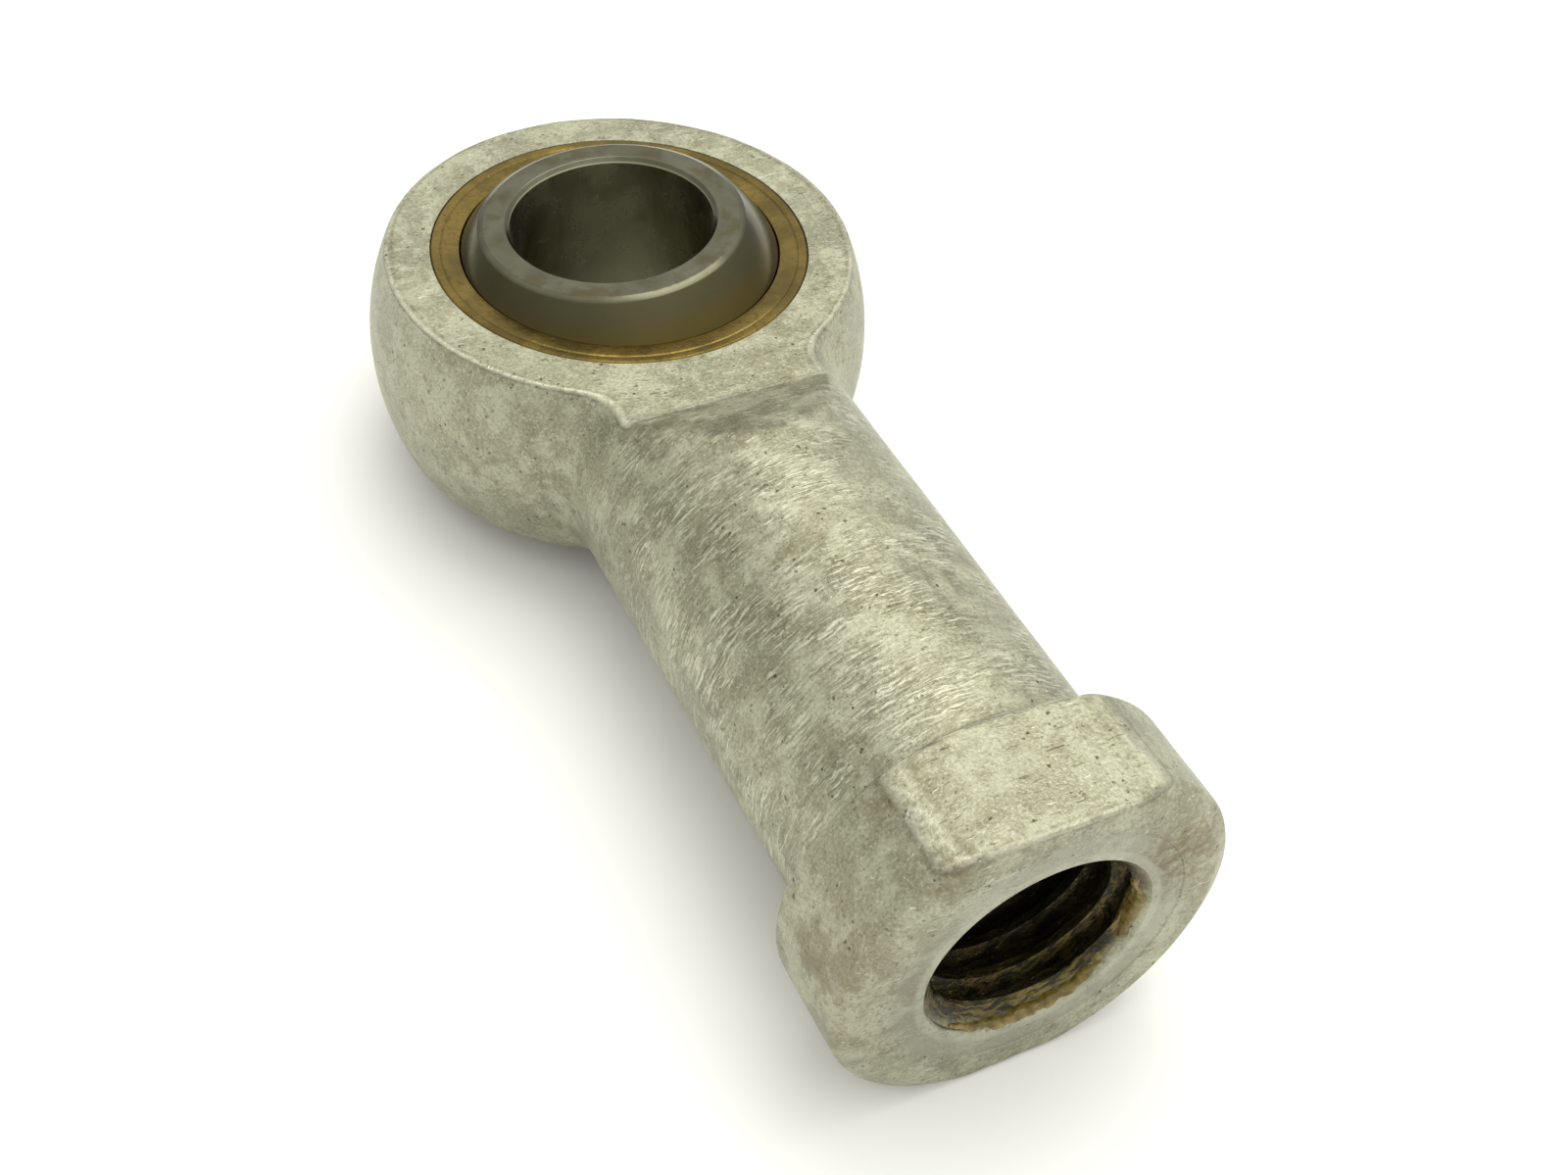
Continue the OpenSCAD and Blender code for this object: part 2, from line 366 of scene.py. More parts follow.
# %% Where the edges are worn bright
gap = np.abs(r_row - plane_r)
rub_width = 0.3
on_collar = y_row < 10 - reach
on_shank_rows = (y_row < -15.5) & ~on_collar
milled_edge = np.exp(-(gap / rub_width) ** 2) * np.where(on_shank_rows, 0.25, 1)
milled_edge *= r_row > eye_z
face_edge = np.exp(-((y_row + face_end) / 0.16) ** 2) * (plane_r < r_row)
front_edge = np.exp(-(from_end / rub_width) ** 2) * np.exp(-(inside / rub_width) ** 2) * on_collar
worn = np.clip(np.maximum(np.maximum(milled_edge, face_edge), front_edge), 0, 1)
faced = ((r_row < faced_r + recess) & on_collar) * np.ones_like(turn)

housing = closed_mesh(
    "housing_skin", blank, start=(0, eye_r, 0), end=(0, recess - reach, 0),
    marks={"worn": worn, "faced": faced})

# %% [markdown]
# ## Race seat, thread and nipple holes
#
# The holes are cut out of the blank. The race's seat is wider inside than at its lips,
# because the lips are swaged over the race. The thread is a grid too, but its rows climb:
# a row that starts at one height ends one pitch higher, where it meets the start of a
# later row. So the ridges run exactly along rows, and stay crisp with few faces.

# %% The seat of the race
rim_r = race_r - 1.0         # the opening that the swaged lip leaves
straight_z = rim_z - 1.5     # where the lip starts to close in
seat_half = [
    (rim_r + 0.9, eye_z + 0.85), (rim_r + 0.03, eye_z), (rim_r, eye_z - 0.05), (race_r, straight_z)]
seat_corners = seat_half + [(r, -z) for r, z in seat_half[::-1]]
seat_line = spaced(rounded(seat_corners, [0.04, 0.04, 0.3, 0.3, 0.04, 0.04]), 1.5)
carve(housing, closed_mesh(
    "seat_cutter", spun(seat_line, 200), start=(0, 0, eye_z + 0.8), end=(0, 0, -eye_z - 0.8)))

# %% The thread
pitch = 1.75
thread_r = 5.05
thread_depth = 0.92
mouth_r = 6.15
thread_end = 24.5 - reach
ridge_rows = np.array([0, 0.125, 0.2, 0.36, 0.4375, 0.5, 0.5625, 0.64, 0.8, 0.875])
turns_cut = 17
row_turns = (np.arange(turns_cut)[:, None] + ridge_rows).ravel()[:, None]
climb = np.linspace(0, 1, 113)[None, :]


def threaded(y, phase):
    """The thread's radius: a trapezoid wave of the phase, full for an eighth of the pitch and
    empty for a quarter, that fades out at the hole's end and opens into a countersink."""
    height = np.clip((0.375 - np.abs(phase - 0.5)) / 0.3125, 0, 1)
    fade = np.clip((thread_end - y) / 1.6, 0, 1)
    return np.maximum(thread_r + thread_depth * height * fade, mouth_r - (y + reach) * 0.95)


thread_start = -reach - 1.3 - pitch      # in front of the end face, so that the mouth is cut through
thread_y = thread_start + pitch * (row_turns + climb)
thread_radius = threaded(thread_y, row_turns % 1 + 0 * climb)
thread = np.stack([
    thread_radius * np.cos(-2 * np.pi * climb),
    thread_y,
    thread_radius * np.sin(-2 * np.pi * climb)], axis=-1)
print("the thread's cutter runs in mm from", round(float(thread_y.min()), 2),
      "to", round(float(thread_y.max()), 2))


# %% Closing the thread into a cutter
def climbing_mesh(name, grid, step, tip):
    """The climbing grid as a closed mesh. Its last column is its first one, step rows later,
    so those points are shared, and the two open ends close on points of the axis, the far
    one tip beyond the last row."""
    columns = grid.shape[1] - 1
    index = np.arange(len(grid) * columns).reshape(-1, columns)
    index = np.hstack([index, np.roll(index[:, :1], -step, axis=0)])
    final = len(grid) - step - 1
    walls = np.stack([
        index[:final, :-1], index[:final, 1:], index[1:final + 1, 1:], index[1:final + 1, :-1]],
        axis=-1).reshape(-1, 4)
    points = grid[:, :-1].reshape(-1, 3)
    ends = []
    for row, shift, turned in ((0, -0.5, 1), (final, tip, -1)):
        loop = np.concatenate([index[row, :-1], index[row + step:row:-1, 0]])
        ends.append(np.column_stack([np.roll(loop, -turned), loop, np.full(len(loop), len(points))]))
        points = np.vstack([points, (0, grid[row, :, 1].mean() + shift, 0)])
    ends = np.vstack(ends)
    used, renamed = np.unique(np.concatenate([walls.ravel(), ends.ravel()]), return_inverse=True)
    mesh = bpy.data.meshes.new(name)
    faces = renamed[:walls.size].reshape(-1, 4).tolist() + renamed[walls.size:].reshape(-1, 3).tolist()
    mesh.from_pydata((points[used] * mm).tolist(), [], faces)
    piece = bpy.data.objects.new(name, mesh)
    bpy.context.scene.collection.objects.link(piece)
    return piece


thread_cutter = climbing_mesh("thread_cutter", thread, len(ridge_rows), 3.0)
carve(housing, thread_cutter)

# %% The nipple's holes
stem_r = 1.5
head_r = nipple_high[0]
head_top = nipple_high[1]
spot_y = head_top - 1.1      # the shoulder under the nipple's head
stem_end = nipple_low[1]
passage_r, passage_end = 0.5, 11.5


def rod_cutter(name, radius, low, high):
    """A plain rod along Y, to drill with."""
    line = np.array([(radius, low), (radius, high)])
    return closed_mesh(name, spun(line, 48, "y"), start=(0, low, 0), end=(0, high, 0))


for name, radius, low in (
        ("spot_cutter", head_r, spot_y),
        ("stem_cutter", stem_r, stem_end),
        ("passage_cutter", passage_r, passage_end)):
    carve(housing, rod_cutter(name, radius, low, eye_r + 2))
housing.data.set_sharp_from_angle(angle=math.radians(38))

# %% [markdown]
# ## The race
#
# The race is one bronze ring. Its outside fills the seat that was cut for it, its inside is
# the sphere that the ball turns in, and its end faces slope down towards the ball. The
# swaging rolls its outer edge over, which is where the metal is rubbed bright. It is a
# closed outline that is spun once round.

# %% The race's outline
fit = 0.01                   # how far inside its seat the race stays
groove_half, groove_depth = 0.8, 0.36    # the grease groove round its middle
bead_r = rim_r - 0.14
bead_z = eye_z + 0.02
face_slope = math.tan(math.radians(5))
line_r = rim_r - 0.62        # the scribed line


def race_face_z(r):
    """Height of the sloping end face at radius r."""
    return bead_z - (bead_r - r) * face_slope


lip_r = seat_r
for _ in range(12):
    lip_r = math.sqrt(seat_r ** 2 - race_face_z(lip_r) ** 2)
print("the race's lip is at radius", round(lip_r, 2), "and height", round(race_face_z(lip_r), 2))
top_corners = [
    (race_r - fit, groove_half), (race_r - fit, straight_z), (rim_r - fit, bead_z - 0.1),
    (bead_r + 0.03, bead_z),
    (line_r + 0.07, race_face_z(line_r + 0.07)), (line_r, race_face_z(line_r) - 0.05),
    (line_r - 0.1, race_face_z(line_r - 0.1)), (lip_r + 0.02, race_face_z(lip_r)),
    (lip_r + 0.05, race_face_z(lip_r) - 0.08)]
top_line = rounded(top_corners, [0.2, 0.05, 0.1, 0.05, 0.03, 0.05, 0.05])
lean_in = np.linspace(math.acos((lip_r + 0.14) / seat_r), 0, 22)
seat_line = seat_r * np.column_stack([np.cos(lean_in), np.sin(lean_in)])
upper = np.vstack([[(race_r - groove_depth, groove_half)], top_line, seat_line])
lower = upper[::-1] * (1, -1)
race_line = spaced(np.vstack([upper, lower[1:]]), 0.5)
race = closed_mesh("race_skin", spun(race_line, 200), loop_rows=True, sharp=35)

# %% [markdown]
# ## The ball
#
# The ball is a bearing ring: a sphere with two flat ends, broken edges, and a ground bore
# with a small chamfer at each end. Its closed outline is spun about its own axis, and the
# points are then leaned as the ball lies at rest. The piece itself stays unturned, so its
# finish sits still on it.

# %% The ball's outline
ball_z = 8.0                             # half the ball's width
edge_in, edge_out = 7.54, 7.9            # the broken edge, kept inside the sphere
edge_z = math.sqrt(ball_r ** 2 - edge_out ** 2)
bore_edge = 0.28
curve = np.linspace(math.asin(edge_z / ball_r), 0, 30)[1:]
ball_side = ball_r * np.column_stack([np.cos(curve), np.sin(curve)])
ball_top = rounded(
    [(bore_r, 0), (bore_r, ball_z - bore_edge), (bore_r + bore_edge, ball_z), (edge_in, ball_z),
     (edge_out, edge_z), tuple(ball_side[1])],
    [0.1, 0.1, 0.06, 0.06], 8)
upper = np.vstack([ball_top[:-1], ball_side[1:]])
ball_line = spaced(np.vstack([upper, (upper[::-1] * (1, -1))[1:-1]]), 0.7)
ball_grid = spun(ball_line, 192)
tilt = np.array(Vector((0, 0, 1)).rotation_difference(ball_axis).to_matrix())
ball = closed_mesh("ball_skin", ball_grid @ tilt.T, loop_rows=True, sharp=30)

# %% [markdown]
# ## The grease nipple
#
# A drive-in nipple sits in the crown of the eye: a hollow brass plug, a tiny check ball
# that closes its mouth, and a spring under the ball. A grease gun pushes the ball in. The
# plug is a spun outline, the ball a spun half circle, and the spring a circle that is
# carried along a helix.

# %% The plug
check_low, check_high = (np.array(corner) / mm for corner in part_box("nipple_check_ball"))
check_y = (check_low[1] + check_high[1]) / 2
check_r = (check_high[1] - check_low[1]) / 2
chamber_r = check_r + 0.1
chamber_end = stem_end + 0.3
mouth_hole = 0.55
seat_y = head_top - 0.3
plug_line = rounded(
    [(passage_r, chamber_end), (passage_r, stem_end), (stem_r, stem_end), (stem_r, spot_y),
     (head_r, spot_y), (head_r, spot_y + 0.4), (mouth_hole + 0.35, head_top), (mouth_hole, head_top),
     (mouth_hole, seat_y), (chamber_r, seat_y - chamber_r + mouth_hole), (chamber_r, chamber_end)],
    [0.05, 0.15, 0.02, 0.1, 0.2, 0.15, 0.06, 0.03, 0.05])
plug = closed_mesh("nipple_skin", spun(spaced(plug_line, 0.4), 72, "y"), loop_rows=True, sharp=35)

# %% The check ball
arc = np.linspace(0, np.pi, 25)[1:-1]
check_line = np.column_stack([check_r * np.sin(arc), check_y + check_r * np.cos(arc)])
check_ball = closed_mesh(
    "check_ball_skin", spun(check_line, 40, "y"),
    start=(0, check_y + check_r, 0), end=(0, check_y - check_r, 0))

# %% The spring
spring_low, spring_high = (np.array(corner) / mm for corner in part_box("nipple_spring"))
wire_r = 0.09
coil_r = spring_high[0] - wire_r


def coil(radius, low, high, coils, wire, steps=40, sides=12):
    """A helix about Y as rows of circles: the centre climbs evenly from low to high while it
    goes round, and each circle stands square to the helix's own direction."""
    t = np.linspace(0, 1, coils * steps + 1)[:, None]
    turn = 2 * np.pi * coils * t
    centre = np.hstack([radius * np.cos(turn), low + (high - low) * t, radius * np.sin(turn)])
    out = np.hstack([np.cos(turn), 0 * t, np.sin(turn)])
    rise = (high - low) / (2 * np.pi * coils)
    along = np.hstack([-radius * np.sin(turn), 0 * t + rise, radius * np.cos(turn)])
    along /= np.linalg.norm(along, axis=1, keepdims=True)
    side = np.cross(along, out)
    a = np.linspace(0, 2 * np.pi, sides, endpoint=False)[None, :, None]
    return centre[:, None] + wire * (np.cos(a) * out[:, None] + np.sin(a) * side[:, None]), centre


wire_rows, wire_centre = coil(coil_r, spring_low[1] + wire_r, spring_high[1] - wire_r, 3, wire_r)
spring = closed_mesh("spring_skin", wire_rows, start=wire_centre[0], end=wire_centre[-1], sharp=50)

# %% [markdown]
# ## Grease
#
# The part comes greased. Some of the grease was pressed out at the thread's mouth, and lies
# there as two lumpy beads: one along the lower lip and one a little further in, on the
# right. Each is a tube along an arc, whose radius swells and shrinks with a smooth random
# wave and runs out to nothing at both ends. Metaballs would melt together more softly, but
# a tube says plainly where the grease lies.


# %% The beads
def bead(name, first, last, radius, y, thick, seed, flat=1.0):
    """A lumpy tube: its centre follows an arc of a circle about Y from angle first to last,
    and its own radius is thick times a wave, times the sine that closes both ends."""
    t = np.linspace(0.01, 0.99, 90)[:, None]
    turn = np.radians(first + (last - first) * t)
    path = np.hstack([np.cos(turn), 0 * t, np.sin(turn)])
    wave = ripple(path * radius, 1.6, seed)[:, None]
    swell = thick * np.sin(np.pi * t) ** 0.45 * (0.72 + 0.55 * wave)
    swell = np.maximum(swell, 0.03)
    centre = path * (radius + 0.16 * ripple(path * radius, 2.3, seed + 1)[:, None]) + (0, y, 0)
    a = np.linspace(0, 2 * np.pi, 20, endpoint=False)[None, :, None]
    across = path[:, None] * np.cos(a) + np.array((0, 1, 0)) * np.sin(a) * flat
    rows = centre[:, None] + swell[:, None] * across
    rows += 0.03 * ripple(rows, 0.45, seed + 2)[..., None] * across
    return closed_mesh(name, rows, start=centre[0], end=centre[-1], sharp=60)


lip_bead = bead("grease_lip", 226, 322, 5.84, 0.42 - reach, 0.36, 21, 1.4)
inner_bead = bead("grease_inside", 312, 386, 5.74, 0.75 - reach, 0.3, 25, 1.7)

# %% [markdown]
# ## Finishes
#
# A finish is a small network of shader nodes. Every network starts from the object's own
# coordinates, in metres, so a pattern has its real scale: noise of scale 1000 has lumps a
# millimetre across. Numbers that are the same all over go straight on the shader.


# %% Short calls for nodes
def new_finish(name):
    """An empty material and its nodes, with the shader and the object's coordinates."""
    finish = bpy.data.materials.new(name)
    finish.use_nodes = True
    tree = finish.node_tree
    shader = tree.nodes["Principled BSDF"]
    place = tree.nodes.new("ShaderNodeTexCoord").outputs["Object"]
    return finish, tree, shader, place


def add(tree, kind, settings=None, **sockets):
    """One node: its own settings, and for each socket a value or another node's output."""
    made = tree.nodes.new("ShaderNode" + kind)
    for name, value in (settings or {}).items():
        setattr(made, name, value)
    for name, value in sockets.items():
        plug_in(tree, made.inputs[name.replace("_", " ")], value)
    return made


def plug_in(tree, socket, value):
    """Links an output to the socket, or sets the socket's own value."""
    if isinstance(value, bpy.types.NodeSocket):
        tree.links.new(value, socket)
    else:
        socket.default_value = value


def mixed(tree, amount, under, over):
    """Two colours, the second over the first by the amount."""
    made = tree.nodes.new("ShaderNodeMix")
    made.data_type = "RGBA"
    for index, value in ((0, amount), (6, under), (7, over)):
        plug_in(tree, made.inputs[index], value)
    return made.outputs[2]


def ranged(tree, value, low, high, first=0.0, last=1.0):
    """A value that goes smoothly from first to last while the input goes from low to high."""
    made = add(tree, "MapRange", {"interpolation_type": "SMOOTHSTEP"}, Value=value,
               From_Min=low, From_Max=high, To_Min=first, To_Max=last)
    return made.outputs["Result"]


def combined(tree, way, *values):
    """Numbers put together by one Math node."""
    made = tree.nodes.new("ShaderNodeMath")
    made.operation = way
    for socket, value in zip(made.inputs, values):
        plug_in(tree, socket, value)
    return made.outputs[0]


def plus(tree, a, b):
    """a + b"""
    return combined(tree, "ADD", a, b)


def times(tree, a, b):
    """a * b"""
    return combined(tree, "MULTIPLY", a, b)


def cloud(tree, place, size, detail=4.0, rough=0.55, seed=0.0, squeeze=(1, 1, 1), turned=(0, 0, 0)):
    """Noise with lumps about size millimetres across, stretched where squeeze is below 1."""
    spot = add(tree, "Mapping", Vector=place, Location=(seed, seed * 0.7, -seed), Rotation=turned,
               Scale=tuple(k / (size * mm) for k in squeeze))
    noise = add(tree, "TexNoise", Vector=spot.outputs[0], Scale=1.0, Detail=detail, Roughness=rough)
    return noise.outputs[0]


def near_point(tree, place, point, near, far):
    """1 within near millimetres of a point, and 0 beyond far."""
    gap = add(tree, "VectorMath", {"operation": "DISTANCE"}, Vector=place)
    gap.inputs[1].default_value = tuple(c * mm for c in point)
    return ranged(tree, gap.outputs["Value"], near * mm, far * mm, 1.0, 0.0)


def rgb(red, green, blue):
    """A colour given as it looks on a screen, 0 to 255, as the linear one that a shader needs."""
    return tuple(((c / 255 + 0.055) / 1.055) ** 2.4 for c in (red, green, blue)) + (1.0,)


# %% [markdown]
# ## The plated housing
#
# The housing is forged, tumbled and plated in a dull zinc-nickel. Close to, it is never one
# grey: soft clouds of lighter and darker plating, brown stains of old grease, dark specks
# and pits, and short fine scratches from handling. Along the milled edges the plating is
# rubbed bright, and that mark was stored in the mesh when the edges were rolled.

# %% The plating's colours, as they look on a screen
zinc, light_zinc, pale_zinc = rgb(138, 136, 113), rgb(156, 155, 131), rgb(182, 182, 159)
dark_mottle, dark_grain, bright_grain = rgb(110, 105, 84), rgb(98, 93, 73), rgb(206, 205, 188)
old_stain, brown_film, grease_smear = rgb(104, 90, 58), rgb(104, 90, 62), rgb(108, 94, 58)
line_dirt, line_bright, speck_dark = rgb(94, 88, 68), rgb(226, 224, 206), rgb(52, 44, 30)
scratch_dirt, scratch_bright = rgb(74, 66, 50), rgb(236, 234, 218)
edge_dirt, bare_edge = rgb(82, 74, 56), rgb(206, 204, 186)
faced_metal, clean_ring = rgb(160, 162, 152), rgb(188, 188, 174)
# The black oil colour also paints the shade deep inside the thread.
black_oil_and_shade, amber_oil = rgb(18, 14, 7), rgb(104, 90, 42)
print("plain zinc as the shader takes it:", [round(c, 3) for c in zinc])

# %% Clouds in the plating
plating, tree, shader, place = new_finish("dull_plating")
broad = cloud(tree, place, 8.0, 3, 0.5, 1.0)
patches = cloud(tree, place, 2.4, 6, 0.66, 2.0)
mottle = cloud(tree, place, 0.6, 5, 0.7, 3.0)
grain = cloud(tree, place, 0.17, 4, 0.7, 4.0)
colour = mixed(tree, ranged(tree, broad, 0.35, 0.65), zinc, light_zinc)
colour = mixed(tree, ranged(tree, patches, 0.44, 0.6, 0.0, 0.75), colour, pale_zinc)
colour = mixed(tree, ranged(tree, mottle, 0.5, 0.66, 0.0, 0.36), colour, dark_mottle)
colour = mixed(tree, ranged(tree, grain, 0.52, 0.66, 0.0, 0.42), colour, dark_grain)
colour = mixed(tree, ranged(tree, grain, 0.34, 0.48, 0.4, 0.0), colour, bright_grain)
stain = cloud(tree, place, 2.6, 7, 0.68, 5.0)
colour = mixed(tree, ranged(tree, stain, 0.55, 0.68, 0.0, 0.36), colour, old_stain)

# %% [markdown]
# ### Turning lines, specks and scratches
#
# The lathe left fine rings on the shank, and dirt sits in them. Handling adds short
# scratches, and old grease leaves dark specks. A ring and a scratch are both noise that is
# stretched a long way in one direction: round the shank for the rings, across it for the
# scratches. The coordinates are bent a little first, so that no line runs quite true. The
# specks are the cells of a Voronoi pattern, kept only where another noise lets them be. A
# painted image could hold all this, but noise needs no image and shows no seam.

# %% Specks and scratches
parts = add(tree, "SeparateXYZ", Vector=place)
along = parts.outputs["Y"]
from_axis = add(tree, "VectorMath", {"operation": "LENGTH"}, Vector=add(
    tree, "CombineXYZ", X=parts.outputs["X"], Z=parts.outputs["Z"]).outputs[0]).outputs["Value"]
on_shank = times(
    tree,
    ranged(tree, along, (-face_end - 2.5) * mm, -face_end * mm, 1.0, 0.0),
    ranged(tree, along, (collar_len - reach) * mm, (collar_len - reach + 1) * mm))
wander = add(tree, "TexNoise", Vector=place, Scale=900.0, Detail=2.0)
bent = add(tree, "VectorMath", {"operation": "MULTIPLY_ADD"}, Vector=wander.outputs["Color"])
bend_by = 0.5 * mm
bent.inputs[1].default_value = (bend_by, bend_by, bend_by)
tree.links.new(place, bent.inputs[2])
turning = cloud(tree, bent.outputs[0], 0.13, 3, 0.6, 11.0, (0.12, 1, 0.12))
showing = ranged(tree, cloud(tree, place, 3.0, 3, 0.6, 17.0), 0.42, 0.58, 0.15, 1.0)
dark_line = ranged(tree, turning, 0.53, 0.62)
light_line = ranged(tree, turning, 0.38, 0.47, 1.0, 0.0)
lined = plus(tree, times(tree, on_shank, 0.85), 0.08)
lined = times(tree, lined, showing)
dark_line = times(tree, dark_line, times(tree, lined, 0.5))
light_line = times(tree, light_line, times(tree, lined, 0.6))
colour = mixed(tree, dark_line, colour, line_dirt)
colour = mixed(tree, light_line, colour, line_bright)
speck_shape = add(
    tree, "TexVoronoi", {"feature": "F1"}, Vector=bent.outputs[0], Scale=2600.0, Randomness=1.0)
speck = ranged(tree, speck_shape.outputs["Distance"], 0.16, 0.32, 1.0, 0.0)
speck = times(tree, speck, ranged(tree, cloud(tree, place, 0.9, 4, 0.7, 8.0), 0.54, 0.64))
colour = mixed(tree, times(tree, speck, 0.8), colour, speck_dark)
scratch_a = cloud(tree, bent.outputs[0], 0.12, 2, 0.5, 31.0, (0.07, 1, 1), (0.0, 0.0, 0.45))
scratch_b = cloud(tree, bent.outputs[0], 0.12, 2, 0.5, 32.0, (0.07, 1, 1), (0.0, 0.0, -0.8))
scratched = ranged(tree, cloud(tree, place, 2.1, 3, 0.6, 13.0), 0.46, 0.56)
dark_scratch = times(tree, ranged(tree, scratch_a, 0.655, 0.7), scratched)
light_scratch = times(tree, ranged(tree, scratch_b, 0.65, 0.7), scratched)
colour = mixed(tree, times(tree, dark_scratch, 0.6), colour, scratch_dirt)
colour = mixed(tree, times(tree, light_scratch, 0.5), colour, scratch_bright)

# %% [markdown]
# ### Rubbed edges, the faced ring and the thread's mouth
#
# The mesh carries two marks: worn along the milled edges, and faced on the ring round the
# mouth. Where worn is strong the plating is rubbed bright, and where it begins, dirt has
# gathered beside the bright line. Old grease has smeared the end face on one side and
# browned the collar on the other. Inside the hole the thread is coated in dark oil, and
# painted shade darkens it further in from the mouth. Marks in the mesh follow the real
# edges, which a pattern in space alone can't.

# %% Rubbed edges, the faced ring, and oil with painted depth shade in the thread
worn_mark = add(tree, "Attribute", {"attribute_name": "worn"}).outputs["Fac"]
rubbed = times(tree, ranged(tree, worn_mark, 0.2, 1.0), ranged(tree, mottle, 0.4, 0.6, 0.05, 1.0))
dirt = times(tree, ranged(tree, worn_mark, 0.05, 0.3), ranged(tree, worn_mark, 0.4, 0.75, 1.0, 0.0))
dirt = times(tree, dirt, ranged(tree, mottle, 0.36, 0.58))
colour = mixed(tree, times(tree, dirt, 0.38), colour, edge_dirt)
colour = mixed(tree, times(tree, rubbed, 0.5), colour, bare_edge)
faced_mark = add(tree, "Attribute", {"attribute_name": "faced"}).outputs["Fac"]
colour = mixed(tree, times(tree, faced_mark, 0.35), colour, faced_metal)
smears = near_point(tree, place, (6.4, -reach, 3.4), 0.6, 4.4)
smears = times(tree, smears, ranged(tree, mottle, 0.36, 0.58, 0.1, 0.85))
colour = mixed(tree, smears, colour, grease_smear)
browned = near_point(tree, place, (-9.5, 2.5 - reach, 0.5), 1.0, 7.5)
browned = times(tree, browned, ranged(tree, patches, 0.62, 0.42, 0.1, 0.55))
colour = mixed(tree, browned, colour, brown_film)
mouth_ring = ranged(tree, from_axis, (mouth_r + 0.3) * mm, (mouth_r + 0.6) * mm, 1.0, 0.0)
mouth_ring = times(tree, mouth_ring, ranged(tree, along, -reach * mm, (0.3 - reach) * mm, 1.0, 0.0))
mouth_ring = times(tree, mouth_ring, ranged(tree, mottle, 0.35, 0.65, 0.1, 0.6))
colour = mixed(tree, mouth_ring, colour, clean_ring)
in_hole = ranged(tree, from_axis, (mouth_r - 0.25) * mm, (mouth_r + 0.1) * mm, 1.0, 0.0)
in_hole = times(tree, in_hole, ranged(tree, along, (0.1 - reach) * mm, (0.7 - reach) * mm))
in_hole = times(tree, in_hole, ranged(tree, along, -18 * mm, -14 * mm, 1.0, 0.0))
# Painted shade: the oil's amber fades to black from the mouth inwards, darker the deeper the hole goes.
mouth_light_depth_shade = ranged(tree, along, (1.0 - reach) * mm, (7.0 - reach) * mm, 1.0, 0.2)
oil_and_depth_shade = times(tree, ranged(tree, turning, 0.42, 0.62), mouth_light_depth_shade)
oil_and_depth_shade = mixed(tree, oil_and_depth_shade, black_oil_and_shade, amber_oil)
colour = mixed(tree, times(tree, in_hole, 0.93), colour, oil_and_depth_shade)
plug_in(tree, shader.inputs["Base Color"], colour)
shader.inputs["Metallic"].default_value = 0.78

# %% [markdown]
# ### Gloss and relief
#
# The same patterns drive the gloss and the height, so that a dark speck is also a pit and a
# rubbed edge is also smoother. The relief is a bump: it is far finer than the mesh, and too
# shallow to show on an outline.

# %% The plating's gloss and relief
rough = ranged(tree, patches, 0.36, 0.64, 0.34, 0.5)
rough = plus(tree, rough, times(tree, rubbed, -0.1))
rough = plus(tree, rough, times(tree, in_hole, -0.3))
plug_in(tree, shader.inputs["Roughness"], rough)
height = times(tree, patches, 0.3)
for layer, weight in (
        (mottle, 0.3), (grain, 0.2), (speck, -0.22), (dark_scratch, -0.2), (light_scratch, -0.1)):
    height = plus(tree, height, times(tree, layer, weight))
height = plus(tree, height, times(tree, turning, times(tree, lined, 0.35)))
relief = add(tree, "Bump", Strength=0.7, Distance=0.0002, Height=height)
plug_in(tree, shader.inputs["Normal"], relief.outputs["Normal"])
housing.data.materials.clear()
housing.data.materials.append(plating)
print(plating.name, "is made of", len(tree.nodes), "nodes")

# %% [markdown]
# ## The bronze
#
# The race's bronze shows as a narrow ring, brown and glossy under a film of grease. Two
# clouds are enough for a ring so narrow: a broad one for the metal's tone, and a fine one
# that darkens it and sets the gloss.

# %% The bronze
bronze_shade, bronze_light, bronze_film = rgb(90, 76, 33), rgb(118, 99, 46), rgb(84, 66, 30)
bronze, tree, shader, place = new_finish("greasy_bronze")
broad = cloud(tree, place, 3.5, 4, 0.6, 1.5)
fine = cloud(tree, place, 0.4, 4, 0.65, 2.5)
colour = mixed(tree, ranged(tree, broad, 0.36, 0.62), bronze_shade, bronze_light)
colour = mixed(tree, ranged(tree, fine, 0.48, 0.7, 0.0, 0.7), colour, bronze_film)
plug_in(tree, shader.inputs["Base Color"], colour)
shader.inputs["Metallic"].default_value = 0.85
plug_in(tree, shader.inputs["Roughness"], ranged(tree, fine, 0.35, 0.7, 0.18, 0.36))
relief = add(tree, "Bump", Strength=0.4, Distance=0.00008, Height=fine)
plug_in(tree, shader.inputs["Normal"], relief.outputs["Normal"])
race.data.materials.append(bronze)
print(bronze.name, "is made of", len(tree.nodes), "nodes")

# %% [markdown]
# ## The ball's steel
#
# One piece of hard steel has three faces that look different: a dark oily sphere, plain
# ends with a brown film, and a bright ground bore. The distance from the ball's own axis
# and the height along it tell them apart, so one material serves all three and turns with
# the ball. The sphere is tinted gold, most where it meets the race and fading towards the
# ends: a painted reflection of the bronze. In the bore the highlight is drawn out along the
# axis by the shader's own Anisotropic, whose Tangent is the ball's axis.

# %% The ball's steel
steel_shade, steel_light, face_film = rgb(92, 91, 76), rgb(104, 103, 88), rgb(82, 72, 42)
